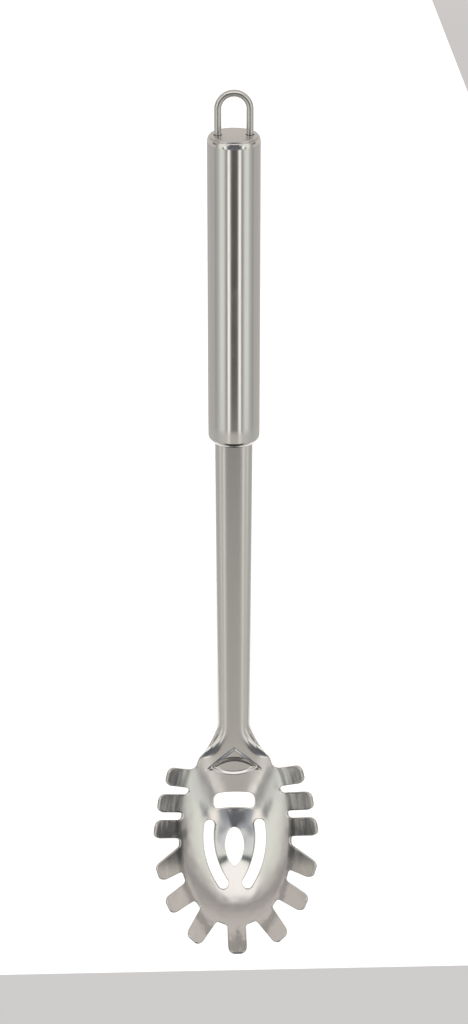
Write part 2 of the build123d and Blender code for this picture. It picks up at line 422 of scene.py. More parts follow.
# %% [markdown]
# ## The dimple
#
# Where the hollow shank runs out into the flat neck, the press sets a lens-shaped dimple back into
# the sheet, to stiffen the bend, and a three-cornered brow stands forward over it. The lens is
# the inside of two crossing circles. A slope leads down from its upper arc, a steeper one from
# its lower arc, and the floor between them is flat. The brow climbs over the first millimetre
# inside its two slanted edges, stays level from there, and fades out at the lens. A dimple
# drawn by a modelling brush would look as good, but a rule keeps both sides the same.

# %% Sizes of the dimple and its brow
dimple_up = 0.17 * MM
upper_arc_centre, upper_arc_radius = -8.46 * MM, 12.46 * MM
lower_arc_centre, lower_arc_radius = 9.83 * MM, 13.43 * MM
upper_slope_width, lower_slope_width = 2.3 * MM, 0.9 * MM
slope_easing = 0.15
dimple_depth = 0.9 * MM
brow_half_width, brow_rise = 9.6 * MM, 8.6 * MM
brow_edge_width, brow_steepness = 1.0 * MM, 0.48
lens_easing = 0.3 * MM
brow_fades_over = (-0.6 * MM, 1.4 * MM)
brow_foot_over = (-2.0 * MM, 0.5 * MM)


# %% How far the dimple and its brow move the sheet back
def dimple(t, x, down, grow):
    """Distance back at one place. Deeper in the sheet the lens is grow larger all round."""
    up = dimple_up - down / math.cos(rim_lean)
    x = t.math("ABSOLUTE", x)
    upper = t.hypot(x, up - upper_arc_centre) - upper_arc_radius
    lower = t.hypot(x, up - lower_arc_centre) - lower_arc_radius
    inside = grow - t.soft_max(upper, lower, lens_easing)
    from_above = t.math("MINIMUM", (grow - upper) / upper_slope_width, 1.0)
    from_below = t.math("MINIMUM", (grow - lower) / lower_slope_width, 1.0)
    share = 1 - t.soft_max(1 - from_above, 1 - from_below, slope_easing)
    pit = t.math("MAXIMUM", share, 0.0) * dimple_depth
    edge_length = math.hypot(brow_half_width, brow_rise)
    slant = brow_half_width * brow_rise - x * brow_rise - up * brow_half_width
    slant = t.math("MAXIMUM", slant / edge_length, 0.0)
    climb = t.math("MINIMUM", slant, brow_edge_width) * brow_steepness
    kept = (1 - t.step(inside, *brow_fades_over)) * t.step(up, *brow_foot_over)
    return pit - climb * kept


# %% The press
press = group(
    "press",
    (
        ("Geometry", "NodeSocketGeometry", None),
        ("Finish", "NodeSocketMaterial", None),
        *rule_sizes,
    ),
    (("Geometry", "NodeSocketGeometry"),),
)
given = press.node("NodeGroupInput", output="Geometry")
blank_place = press.node("GeometryNodeInputPosition")
x, down, depth = press.split(blank_place)


def face(x, down):
    """The front face at one place of the blank."""
    inputs = {name: given.of(name) for name, kind, value in rule_sizes}
    inputs["Blank"] = press.xyz(x, down, 0.0)
    return press.node("GeometryNodeGroup", {"node_tree": front.made}, inputs)


near = 0.15 * MM  # half the distance over which the sheet's direction is taken
across = press.vector("SUBTRACT", face(x + near, down), face(x - near, down))
along = press.vector("SUBTRACT", face(x, down + near), face(x, down - near))
square = press.vector("NORMALIZE", press.vector("CROSS_PRODUCT", along, across))
laid = press.vector("ADD", face(x, down), press.vector("SCALE", square, -depth))
push = dimple(press, x, down, depth)
laid = press.vector("ADD", laid, press.xyz(0.0, push, rim_z))
pressed = press.node(
    "GeometryNodeSetPosition", None, {"Geometry": given, "Position": laid}
)
pressed = press.node("GeometryNodeRealizeInstances", None, {"Geometry": pressed})
pressed = press.node(
    "GeometryNodeSetMaterial", None, {"Geometry": pressed, "Material": given.of("Finish")}
)
press.node("NodeGroupOutput", None, {"Geometry": pressed})
print("nodes in the press:", len(press.made.nodes))

# %% [markdown]
# ## The blank: its outline
#
# Thirteen tines stand round an egg. Their places, turns and lengths are read off the picture, for
# one side only, because the press tool is the same on both. The cutter leaves a small radius in
# every gap. Each is the circle that touches both the tine's side and the egg, and it is found by
# moving its centre along the tine until it is just that far from the egg. The blank is cut a
# little smaller than the finished rim, because the press turns the sheet's edge outwards.

# %% Sizes of the outline
edge_turn = 0.8 * MM
tine_width = 7.1 * MM
tine_length = 10.0 * MM
tip_radius = 2.4 * MM
gap_radius = 1.25 * MM
neck_radius = 2.5 * MM
tine_places = np.radians((-43.7, -26.0, -9.7, 12.2, 35.6, 61.0, 90.0))
tine_turns = np.radians((-13.5, -9.0, -9.0, 17.0, 24.0, 48.0, 90.0))
tine_lengths = np.array((1.06, 1.01, 0.98, 0.93, 0.95, 1.0, 0.9)) * tine_length
tine_tapers = np.radians((0.0, 0.0, 0.0, 15.0, 5.0, 6.0, 0.0))
spacing = 0.42 * MM


def egg(place, less=0.0):
    """A point of the egg, from its angle towards the foot."""
    reach = np.where(place < 0, rim_up, rim_down) - less
    across = (rim_half_width - less) * np.cos(place)
    return np.stack([across, rim_centre + reach * np.sin(place)], -1)


def arc(centre, radius, start, end, count=9):
    """Points of an arc, the short way round."""
    sweep = (end - start + math.pi) % (2 * math.pi) - math.pi
    angles = start + sweep * np.linspace(0, 1, count)
    return centre + radius * np.stack([np.cos(angles), np.sin(angles)], -1)


def bearing(vector):
    """The angle of a direction on the blank."""
    return math.atan2(vector[1], vector[0])


# %% One tine, and the gap that follows it
egg_start, egg_end, egg_count = -1.3, math.pi / 2 + 0.2, 6000
egg_line = egg(np.linspace(egg_start, egg_end, egg_count), edge_turn)
egg_stride = 20
deepest_gap = 16.0 * MM


def inside_egg(point):
    reach = (rim_up if point[1] < rim_centre else rim_down) - edge_turn
    wide = rim_half_width - edge_turn
    return math.hypot(point[0] / wide, (point[1] - rim_centre) / reach) < 1


def gap_corner(start, unit, side):
    """The circle between a tine's side and the egg: its centre, and where it touches each."""
    low, high = -deepest_gap, 0.0
    for halving in range(40):
        middle = (low + high) / 2
        centre = start + side * gap_radius + unit * middle
        off = np.linalg.norm(egg_line - centre, axis=1)
        if off.min() > gap_radius and not inside_egg(centre):
            high = middle
        else:
            low = middle
    return centre, centre - side * gap_radius, off.argmin()


def tine_tip(root, unit, side, upper_side, length):
    """Points round a tine's end, from its upper side to its lower side."""
    end = root + unit * (length - tip_radius)
    wide = side * (tine_width / 2 - tip_radius)
    upper = arc(end - wide, tip_radius, bearing(upper_side), bearing(unit))
    lower = arc(end + wide, tip_radius, bearing(unit), bearing(side))
    return np.vstack([upper, lower])


# %% The right half of the outline, from the neck to the foot
def half_of_neck(down):
    """Half the strip's width at one place of the blank above the rim."""
    below = neck_length + (down + neck_above_rim) / math.cos(rim_lean)
    flared = (1 - np.cos(np.maximum(below, 0) * math.pi / flare_length)) / 2
    taper = (shank_width_top - shank_width_foot) / shank_length
    narrow = shank_width_foot + taper * np.maximum(-below, 0)
    return (narrow + (flare_width - shank_width_foot) * flared) / 2


strip_join = -10.0 * MM
neck_rows = np.linspace(strip_join, -neck_above_rim, 30)
half_outline = [np.stack([half_of_neck(neck_rows), neck_rows], -1)]
roots = egg(tine_places, edge_turn)
units = np.stack([np.cos(tine_turns), np.sin(tine_turns)], -1)
sides = np.stack([-np.sin(tine_turns), np.cos(tine_turns)], -1)
upper_turns = tine_turns + tine_tapers
upper_units = np.stack([np.cos(upper_turns), np.sin(upper_turns)], -1)
upper_sides = np.stack([np.sin(upper_turns), -np.cos(upper_turns)], -1)

neck_end = half_outline[0][-1]
neck_run = egg(tine_places[0]) - neck_end
neck_run = neck_run / np.linalg.norm(neck_run)
neck_out = np.array([neck_run[1], -neck_run[0]])
tine_edge = roots[0] - sides[0] * (tine_width / 2 + neck_radius)
lines = np.stack([neck_run, -units[0]], -1)
distances = np.linalg.solve(lines, tine_edge - neck_end - neck_out * neck_radius)
neck_centre = neck_end + neck_out * neck_radius + neck_run * distances[0]
half_outline.append(
    arc(neck_centre, neck_radius, bearing(-neck_out), bearing(sides[0]), 14)
)
tips = [tine_tip(*one) for one in zip(roots, units, sides, upper_sides, tine_lengths)]
for i, tip in enumerate(tips[:-1]):
    first, side_touch, first_egg = gap_corner(tip[-1], units[i], sides[i])
    start, end = bearing(side_touch - first), bearing(egg_line[first_egg] - first)
    half_outline += [tip, arc(first, gap_radius, start, end)]
    upper = upper_units[i + 1], upper_sides[i + 1]
    second, side_touch, second_egg = gap_corner(tips[i + 1][0], *upper)
    start, end = bearing(egg_line[second_egg] - second), bearing(side_touch - second)
    if second_egg > first_egg + 2 * egg_stride:
        half_outline.append(egg_line[first_egg + egg_stride:second_egg - egg_stride:egg_stride])
    half_outline.append(arc(second, gap_radius, start, end))
half_outline.append(tips[-1])
right_half = np.vstack(half_outline)
right_half = right_half[right_half[:, 0] > 0]
print("points of half the outline:", len(right_half))

# %% [markdown]
# ## The blank: its slots
#
# Four openings drain the bowl: a wide slot near the neck, an oval hole with a pointed foot, and
# two long slots that curve round it. Each is a closed line of its own, built from arcs, and its
# points are then set an even distance apart, so that the faces along its edge are all alike.


# %% Points an even distance apart
def evenly(points, closed, gap):
    """The same line with its points a fixed distance apart."""
    line = np.vstack([points, points[:1]]) if closed else points
    lengths = np.linalg.norm(np.diff(line, axis=0), axis=1)
    keep = np.concatenate([[True], lengths > 1e-7])
    line, lengths = line[keep], lengths[lengths > 1e-7]
    reached = np.concatenate([[0], np.cumsum(lengths)])
    count = max(int(round(reached[-1] / gap)), 8)
    wanted = np.linspace(0, reached[-1], count + 1)
    line = np.stack([np.interp(wanted, reached, line[:, k]) for k in (0, 1)], -1)
    return line[:-1] if closed else line


# %% The openings
def cross_slot():
    """The wide slot, whose long sides bow a little towards the neck."""
    half, top, low, corner, bow = 7.85 * MM, 11.1 * MM, 17.5 * MM, 2.4 * MM, 0.5 * MM
    points = [
        arc(np.array([sx * (half - corner), cy]), corner, start, start + math.pi / 2)
        for sx, cy, start in (
            (1, low - corner, 0), (-1, low - corner, math.pi / 2),
            (-1, top + corner, math.pi), (1, top + corner, 3 * math.pi / 2),
        )
    ]
    line = evenly(np.vstack(points), True, 0.2 * MM)
    line[:, 1] -= bow * (1 - (line[:, 0] / half) ** 2)
    return line


def oval_hole():
    """A half ellipse above, and below it two arcs that meet in a small round tip."""
    half, top, widest, foot, tip = 3.6 * MM, 24.75 * MM, 31.5 * MM, 40.2 * MM, 0.9 * MM
    turned = np.linspace(-math.pi, 0, 40)
    upper = np.stack([half * np.cos(turned), widest + (widest - top) * np.sin(turned)], -1)
    drop = foot - widest
    radius = (half**2 + drop**2) / (2 * half)
    centre = np.array([half - radius, widest])
    tip_centre = np.array([0, widest + math.sqrt((radius - tip) ** 2 - centre[0] ** 2)])
    reach = bearing(tip_centre - centre)
    right = arc(centre, radius, 0.0, reach, 30)
    right = np.vstack([right[1:], arc(tip_centre, tip, reach, math.pi / 2, 6)[1:]])
    return np.vstack([upper, right, (right * (-1, 1))[::-1][1:]])


def side_slot(side):
    """One curved slot, along the circle through three places, with round ends."""
    top, middle, foot = np.array(((9.6, 23.4), (9.2, 35.0), (4.6, 45.8))) * MM
    matrix = 2 * np.array([middle - top, foot - top])
    centre = np.linalg.solve(matrix, [middle @ middle - top @ top, foot @ foot - top @ top])
    radius = np.linalg.norm(top - centre)
    start, end, wide = bearing(top - centre), bearing(foot - centre), 2.05 * MM
    outer = arc(centre, radius + wide, start, end, 60)
    inner = arc(centre, radius - wide, end, start, 60)
    tangent = np.array([-math.sin(end), math.cos(end)])
    foot_cap = arc(foot, wide, end, bearing(tangent))
    foot_end = arc(foot, wide, bearing(tangent), end + math.pi)
    tangent = np.array([math.sin(start), -math.cos(start)])
    top_cap = arc(top, wide, start + math.pi, bearing(tangent))
    top_end = arc(top, wide, bearing(tangent), start)
    line = np.vstack([outer, foot_cap, foot_end, inner, top_cap, top_end])
    return line * (side, 1)


openings = [cross_slot(), oval_hole(), side_slot(1), side_slot(-1)]
openings = [evenly(line, True, spacing * 0.7) for line in openings]
print("points of each opening:", [len(o) for o in openings])

# %% [markdown]
# ## The blank: its faces
#
# A polished bowl shows every uneven face, so the blank is filled with small triangles of one
# size. Blender's Delaunay filler joins the points of the lines and of a fine grid between them.
# The strip of the shank is simple and gets rows of long faces instead. Every cut edge gets
# seven rings of narrow faces that turn round it: tumbling takes the sharpness off a real edge.

# %% Rows of the strip, and the lines that are cut
edge_radius = 0.22 * MM
strip_columns = 56
first_row, row_growth, longest_row = 0.5 * MM, 1.12, 3.0 * MM
strip_rows = [strip_join]
while strip_rows[-1] > -shank_blank:
    grown = min(first_row * row_growth ** len(strip_rows), longest_row)
    strip_rows.append(max(strip_rows[-1] - grown, -shank_blank))
strip_rows = np.array(strip_rows)

right_line = evenly(right_half, False, spacing * 0.75)
right_line = right_line[right_line[:, 0] > 0.1 * MM]
outline = np.vstack([right_line, (right_line * (-1, 1))[::-1]])
strip_side = np.stack([half_of_neck(strip_rows[1:]), strip_rows[1:]], -1)
top_row = np.linspace(-1, 1, strip_columns + 1)[1:-1, None] * (strip_side[-1, 0], 0)
top_row = top_row + (0, strip_rows[-1])
cut_lines = [np.vstack([strip_side[::-1], outline, strip_side * (-1, 1), top_row])]


def turns_left(line):
    """Whether a closed line goes round anticlockwise."""
    x, y = line[:, 0], line[:, 1]
    return (x * np.roll(y, -1) - y * np.roll(x, -1)).sum() > 0


cut_lines += [o[::-1] if turns_left(o) else o for o in openings]
print("rows of the strip:", len(strip_rows), "points of the outline:", len(outline))


# %% Rings of faces round every cut edge
def inset(line, amount):
    """The closed line moved to its left side, which is always the sheet's side."""
    run = np.roll(line, -1, 0) - np.roll(line, 1, 0)
    run = run / np.linalg.norm(run, axis=1, keepdims=True)
    return line + amount * np.stack([-run[:, 1], run[:, 0]], -1)


round_turns = np.linspace(0, math.pi / 2, 4)
ring_insets = edge_radius * (1 - np.sin(round_turns))
ring_depths = edge_radius * (1 - np.cos(round_turns))
ring_insets = np.concatenate([ring_insets, ring_insets[::-1]])
ring_depths = np.concatenate([ring_depths, sheet - ring_depths[::-1]])

points, faces, inner_front, inner_back = [], [], [], []
for line in cut_lines:
    count = len(line)
    base = len(points)
    for amount, depth in zip(ring_insets, ring_depths):
        ring = inset(line, amount)
        points.extend((x, y, depth) for x, y in ring)
    for k in range(len(ring_insets) - 1):
        for i in range(count):
            a, b = base + k * count + i, base + k * count + (i + 1) % count
            faces.append((a, b, b + count, a + count))
    inner_front.append(np.arange(base, base + count))
    inner_back.append(np.arange(base, base + count) + count * (len(ring_insets) - 1))
print("faces on the cut edges:", len(faces))


# %% Points inside the sheet
def within(places, line):
    """Which places lie inside a closed line, by counting the crossings to one side."""
    inside = np.zeros(len(places), bool)
    ends = np.roll(line, -1, 0)
    for (x0, y0), (x1, y1) in zip(line, ends):
        if y0 != y1:
            crosses = (places[:, 1] > min(y0, y1)) & (places[:, 1] <= max(y0, y1))
            inside ^= crosses & (places[:, 0] < x0 + (places[:, 1] - y0) * (x1 - x0) / (y1 - y0))
    return inside


rows = len(strip_rows) - 1
left_ids = np.arange(rows + len(outline), 2 * rows + len(outline))
left_ids = np.concatenate([[rows + len(outline) - 1], left_ids])
right_ids = np.concatenate([[rows], np.arange(rows - 1, -1, -1)])
flat = np.array(points)[:, :2]
shares = np.linspace(0, 1, strip_columns + 1)[1:-1, None]
strip_inner = [
    flat[a] + (flat[b] - flat[a]) * shares for a, b in zip(left_ids[:-1], right_ids[:-1])
]
bowl_border = np.vstack([flat[rows:rows + len(outline)], strip_inner[0]])
slot_borders = [flat[ids] for ids in inner_front[1:]]


def lattice(gap, low, high):
    """Staggered rows of points, the same on both sides of the middle."""
    row_gap = gap * 0.866  # the height of a triangle with equal sides
    across, along = np.arange(0, high[0], gap), np.arange(low[1], high[1], row_gap)
    spots = []
    for k, down in enumerate(along):
        half_row = across + gap / 2 * (k % 2)
        both = np.concatenate([-half_row[half_row > 0], half_row])
        spots.append(np.stack([both, np.full(len(both), down)], -1))
    return np.vstack(spots)


dimple_low, dimple_high = np.array(((-11.5, -9.6), (11.5, 5.0))) * MM
far_corner = (33 * MM, 72 * MM)
coarse = lattice(spacing, (0, strip_join), far_corner)
fine = lattice(spacing * 0.5, dimple_low, dimple_high)
in_box = ((coarse > dimple_low) & (coarse < dimple_high)).all(1)
spots = np.vstack([coarse[~in_box], fine])
spots = spots[within(spots, bowl_border)]
for border in slot_borders:
    spots = spots[~within(spots, border)]
borders = np.vstack([bowl_border, *slot_borders])
crowded = KDTree(len(borders))
for i, (x, y) in enumerate(borders):
    crowded.insert((x, y, 0), i)
crowded.balance()
spots = spots[[crowded.find((x, y, 0))[2] > spacing * 0.5 for x, y in spots]]
print("points inside the bowl's sheet:", len(spots))

# %% Triangles of the bowl and rows of the strip
given_points = np.vstack([borders, spots])
lines = []
start = 0
for border in (bowl_border, *slot_borders):
    count = len(border)
    lines += [(start + i, start + (i + 1) % count) for i in range(count)]
    start += count
filled = delaunay_2d_cdt([Vector(p) for p in given_points / MM], lines, [], 0, 1e-6)
triangles, came_from = filled[2:4]
came_from = np.array([ids[0] for ids in came_from])
triangles = came_from[np.array(triangles)]
middles = given_points[triangles].mean(1)
keep = within(middles, bowl_border)
for border in slot_borders:
    keep &= ~within(middles, border)
triangles = triangles[keep]
print("triangles on one face:", len(triangles))

# %% Both faces of the blank
for depth, ring_ids in ((0.0, inner_front), (sheet, inner_back)):
    base = len(points)
    strip_ids = base + np.arange(rows * (strip_columns - 1)).reshape(rows, -1)
    points.extend((x, y, depth) for row in strip_inner for x, y in row)
    spot_ids = len(points) + np.arange(len(spots))
    points.extend((x, y, depth) for x, y in spots)
    outer = ring_ids[0]
    mesh_ids = np.concatenate(
        [outer[rows:rows + len(outline)], strip_ids[0], *ring_ids[1:], spot_ids]
    )
    faces.extend(map(tuple, mesh_ids[triangles].tolist()))
    top_ids = outer[2 * rows + len(outline):]
    grid = np.vstack([strip_ids, top_ids])
    grid = np.hstack([outer[left_ids][:, None], grid, outer[right_ids][:, None]])
    for j in range(rows):
        for i in range(strip_columns):
            faces.append(tuple(int(n) for n in (
                grid[j, i], grid[j, i + 1], grid[j + 1, i + 1], grid[j + 1, i]
            )))

blank_mesh = bpy.data.meshes.new("blank")
blank_mesh.from_pydata([tuple(map(float, p)) for p in points], [], faces)
shaper = bmesh.new()
shaper.from_mesh(blank_mesh)
bmesh.ops.recalc_face_normals(shaper, faces=shaper.faces)
open_edges = sum(not e.is_manifold for e in shaper.edges)
shaper.to_mesh(blank_mesh)
shaper.free()
blank = in_scene("blank", blank_mesh)
print("faces of the blank:", len(blank_mesh.polygons), "open edges:", open_edges)


# %% [markdown]
# ## Pressing the blank
#
# The tree goes on the blank as a modifier. Its result becomes a plain mesh with its own name, and
# the modifier and the blank go, so that what is kept is only the finished pressing.


# %% A plain mesh from an object with modifiers
def settled(source, name, smooth_angle=None):
    """The evaluated mesh of an object as a new plain object. The source is removed."""
    bpy.context.view_layer.update()
    depsgraph = bpy.context.evaluated_depsgraph_get()
    mesh = bpy.data.meshes.new_from_object(source.evaluated_get(depsgraph))
    mesh.name = name
    mesh.shade_smooth()
    if smooth_angle is not None:
        mesh.set_sharp_from_angle(angle=math.radians(smooth_angle))
    bpy.data.objects.remove(source)
    return in_scene(name, mesh)


def with_tree(obj, tree, **values):
    """Puts a tree on an object and sets its named inputs."""
    modifier = obj.modifiers.new(tree.name, "NODES")
    modifier.node_group = tree
    for item in tree.interface.items_tree:
        label = item.name.replace(" ", "_").lower()
        if item.item_type == "SOCKET" and item.in_out == "INPUT" and label in values:
            modifier[item.identifier] = values.pop(label)
    assert not values, values
    return obj


finishes = {
    name: bpy.data.materials.new(name)
    for name in ("pressed_steel", "tube_steel", "cap_steel", "wire_steel")
}
with_tree(
    blank, press.made, finish=finishes["pressed_steel"],
    wall_slope=wall_slope, tine_slope=tine_slope, floor_radius=floor_radius,
)
pressing = settled(blank, "pressing")
print("corners of the pressing:", len(pressing.data.vertices))

# %% [markdown]
# ## The handle tube
#
# The handle is a drawn tube. Its top is turned in a little to hold the cap, and its foot is
# closed round the shank. Its wall is one closed profile, spun round the axis, and the mouth for
# the shank is cut out of the foot by the shank's own outline.

# %% Profile of the tube, spun
tube_radius = 9.5 * MM
tube_wall = 0.8 * MM
shoulder_inset = 0.45 * MM
shoulder_height = 2.3 * MM
foot_radius = 3.2 * MM
mouth_clearance = 0.12 * MM
mouth_start = tube_foot - 5.0 * MM
smallest_face = 1e-14
sharp_from = 30


def quarter(centre, wide, high, start, count=10):
    """Points of a quarter of an ellipse."""
    angles = start + np.linspace(0, math.pi / 2, count)
    return [(centre[0] + wide * math.cos(a), centre[1] + high * math.sin(a)) for a in angles]


def wall_line(inset):
    """One face of the wall from the middle of the foot to the top."""
    side = tube_radius - inset
    foot = tube_foot + inset
    line = [(0.0, foot)]
    line += quarter((side - foot_radius + inset, foot + foot_radius - inset),
                    foot_radius - inset, foot_radius - inset, -math.pi / 2)
    length = np.linspace(foot + foot_radius, tube_top - shoulder_height - 0.5 * MM, 24)
    line += [(side, z) for z in length[1:]]
    line += quarter((side - shoulder_inset, tube_top - shoulder_height),
                    shoulder_inset, shoulder_height, 0.0, 14)
    return line


def spun(name, profile, steps=144):
    """A closed solid from a profile of (radius, height), spun round the upright axis."""
    shaper = bmesh.new()
    corners = [shaper.verts.new((r, 0, z)) for r, z in profile]
    edges = [shaper.edges.new(pair) for pair in zip(corners, corners[1:] + corners[:1])]
    bmesh.ops.spin(
        shaper, geom=corners + edges, cent=(0, 0, 0), axis=(0, 0, 1),
        angle=2 * math.pi, steps=steps, use_merge=True,
    )
    bmesh.ops.remove_doubles(shaper, verts=shaper.verts, dist=1e-6)
    slivers = [f for f in shaper.faces if f.calc_area() < smallest_face]
    bmesh.ops.delete(shaper, geom=slivers, context="FACES")
    bmesh.ops.recalc_face_normals(shaper, faces=shaper.faces)
    mesh = bpy.data.meshes.new(name)
    shaper.to_mesh(mesh)
    shaper.free()
    return in_scene(name, mesh)


tube_blank = spun("tube_blank", wall_line(0.0) + wall_line(tube_wall)[::-1])
print("faces of the tube:", len(tube_blank.data.polygons))


# %% The mouth cut for the shank
def prism(name, outline, low, high):
    """A closed upright prism on an outline."""
    shaper = bmesh.new()
    base = [shaper.verts.new((x, y, low)) for x, y in outline]
    lid = [shaper.verts.new((x, y, high)) for x, y in outline]
    shaper.faces.new(base)
    shaper.faces.new(lid)
    for a, b, c, d in zip(base, base[1:] + base[:1], lid[1:] + lid[:1], lid):
        shaper.faces.new((a, b, c, d))
    bmesh.ops.recalc_face_normals(shaper, faces=shaper.faces)
    mesh = bpy.data.meshes.new(name)
    shaper.to_mesh(mesh)
    shaper.free()
    return in_scene(name, mesh)


def shank_outline(clearance):
    """The shank's front at the tube's foot, closed off straight behind."""
    turns = np.linspace(0, math.pi, 60)
    power = channel_squareness
    size = (np.abs(np.cos(turns)) ** power + np.sin(turns) ** power) ** (-1 / power)
    x = (shank_width_top / 2 + clearance) * size * np.cos(turns)
    forward = (channel_depth + clearance) * size * np.sin(turns)
    back = channel_depth - channel_front + clearance
    line = [(a, channel_depth - channel_front - b) for a, b in zip(x, forward)]
    return line + [(line[-1][0], back), (line[0][0], back)]


def cut(source, cutter):
    """Takes the cutter out of the source with an exact Boolean."""
    modifier = source.modifiers.new("cut", "BOOLEAN")
    modifier.operation = "DIFFERENCE"
    modifier.solver = "EXACT"
    modifier.object = cutter
    return source


mouth_line = shank_outline(mouth_clearance)
mouth = prism("mouth", mouth_line, mouth_start, tube_foot + foot_radius)
tube = settled(cut(tube_blank, mouth), "tube", sharp_from)
bpy.data.objects.remove(mouth)
print("faces of the finished tube:", len(tube.data.polygons))

# %% [markdown]
# ## The cap
#
# The cap is a shallow pressed cup. Its flange lies on the tube's top, with a small radius round
# it, its skirt goes down inside the tube, and two holes let the legs of the loop through.

# %% Profile of the cap, spun and drilled
cap_top = -13.7 * MM
cap_sheet = 0.7 * MM
cap_radius = 8.7 * MM
cap_edge = 0.3 * MM
skirt_radius = 8.15 * MM
skirt_foot = tube_top - 5.0 * MM
leg_x = 5.65 * MM
leg_hole_radius = 1.55 * MM
wire_radius = 1.25 * MM

profile = [(0.0, cap_top)]
profile += quarter((cap_radius - cap_edge, cap_top - cap_edge), cap_edge, cap_edge, 0.0, 6)[::-1]
profile += [(cap_radius, tube_top), (skirt_radius, tube_top), (skirt_radius, skirt_foot)]
profile += [(skirt_radius - cap_sheet, skirt_foot), (skirt_radius - cap_sheet, tube_top)]
profile += [(0.0, tube_top)]
cap_blank = spun("cap_blank", profile)
round_hole = [(math.cos(a), math.sin(a)) for a in np.linspace(0, 2 * math.pi, 48, False)]
drills = []
for side in (-1, 1):
    hole = [(side * leg_x + leg_hole_radius * x, leg_hole_radius * y) for x, y in round_hole]
    drills.append(prism("drill", hole, tube_top - MM, cap_top + MM))
    cut(cap_blank, drills[-1])
cap = settled(cap_blank, "cap", sharp_from)
for drill in drills:
    bpy.data.objects.remove(drill)
print("faces of the cap:", len(cap.data.polygons))

# %% [markdown]
# ## The hanging loop
#
# The loop is one wire with the same round section all the way, so it is a path and a section:
# two legs and a half circle, and a circle carried along them. Geometry Nodes keep the wire's
# thickness and the distance of the legs as named inputs.

# %% The loop as a tree
leg_foot = tube_top - 9.0 * MM
leg_share = 1 / 6

loop_tree = group(
    "wire_loop",
    (
        ("Geometry", "NodeSocketGeometry", None),
        ("Wire radius", "NodeSocketFloat", wire_radius),
        ("Leg distance", "NodeSocketFloat", leg_x * 2),
        ("Leg foot", "NodeSocketFloat", leg_foot),
        ("Finish", "NodeSocketMaterial", None),
    ),
    (("Geometry", "NodeSocketGeometry"),),
)
given = loop_tree.node("NodeGroupInput", output="Geometry")
half = given.of("Leg distance") * 0.5
bend_z = given.of("Wire radius") - half
share = loop_tree.node("GeometryNodeSplineParameter", output="Factor")
turned = loop_tree.node(
    "ShaderNodeMapRange", None,
    {
        "Value": share, "From Min": leg_share, "From Max": 1 - leg_share,
        "To Min": math.pi, "To Max": 0.0,
    },
)
up_leg = loop_tree.math("MINIMUM", loop_tree.math("MINIMUM", share, 1 - share) / leg_share, 1.0)
drop = (given.of("Leg foot") - bend_z) * (1 - up_leg)
path_place = loop_tree.xyz(
    half * loop_tree.math("COSINE", turned), 0.0,
    bend_z + drop + half * loop_tree.math("SINE", turned),
)
line = loop_tree.node(
    "GeometryNodeCurvePrimitiveLine", None, {"Start": (0, 0, 0), "End": (1, 0, 0)}
)
line = loop_tree.node("GeometryNodeResampleCurve", None, {"Curve": line, "Count": 97})
path = loop_tree.node(
    "GeometryNodeSetPosition", None, {"Geometry": line, "Position": path_place}
)
section = loop_tree.node(
    "GeometryNodeCurvePrimitiveCircle", None,
    {"Resolution": 32, "Radius": given.of("Wire radius")},
)
wire = loop_tree.node(
    "GeometryNodeCurveToMesh", None,
    {"Curve": path, "Profile Curve": section, "Fill Caps": True},
)
wire = loop_tree.node("GeometryNodeRealizeInstances", None, {"Geometry": wire})
wire = loop_tree.node(
    "GeometryNodeSetMaterial", None, {"Geometry": wire, "Material": given.of("Finish")}
)
loop_tree.node("NodeGroupOutput", None, {"Geometry": wire})
print("nodes of the loop:", len(loop_tree.made.nodes))

# %% The loop as a mesh
wire_start = in_scene("wire_start", bpy.data.meshes.new("wire_start"))
with_tree(
    wire_start, loop_tree.made, finish=finishes["wire_steel"],
    wire_radius=wire_radius, leg_distance=leg_x * 2, leg_foot=leg_foot,
)
loop = settled(wire_start, "loop", 40)
print("faces of the loop:", len(loop.data.polygons))

# %% [markdown]
# ## The pieces take their places
#
# Each new piece stands for one part of the imported model and is hidden in its stead. It rides on
# the one rigid body, root, and its one material slot holds its own new finish. The two
# sizes that are printed for each piece should be nearly the same.

# %% Every piece takes its finish and rides on the model
for piece, node, finish in (
    (pressing, "head_and_shank", "pressed_steel"),
    (tube, "handle_tube", "tube_steel"),
    (cap, "end_cap", "cap_steel"),
    (loop, "hanging_loop", "wire_steel"),
):
    piece.data.materials.clear()
    piece.data.materials.append(finishes[finish])
    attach(piece, "root")
    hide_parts(node)
    low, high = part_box(node)
    got = [round(d / MM, 1) for d in piece.dimensions]
    print(piece.name, got, "node", [round(d / MM, 1) for d in high - low])

# %% [markdown]
# ## Finishes: what they have in common
#
# All four pieces are the same stainless steel, and what sets them apart is how they were worked.
# Steel has no colour of its own to speak of, so a finish is mostly a matter of how rough the
# surface is and which way its fine lines run. Each finish below is worked out in millimetres from
# the object's own coordinates. Lines are a noise that is squeezed across them and drawn out along
# them, and one function turns a colour, a roughness and a height into the shader. A picture of
# brushed steel would be quicker to put on, but it repeats and needs a map for every piece.

# %% Helpers of the finishes
scratch_depth = 0.02 * MM


def places(tree):
    """Object coordinates in millimetres."""
    x, y, z = tree.split(tree.node("ShaderNodeTexCoord", output="Object"))
    return x / MM, y / MM, z / MM


def noise(tree, place, detail=2.0):
    """A soft noise from 0 to 1, with features about one unit of the place wide."""
    return tree.node(
        "ShaderNodeTexNoise", None,
        {"Vector": tree.xyz(*place), "Scale": 1.0, "Detail": detail, "Roughness": 0.55},
    )


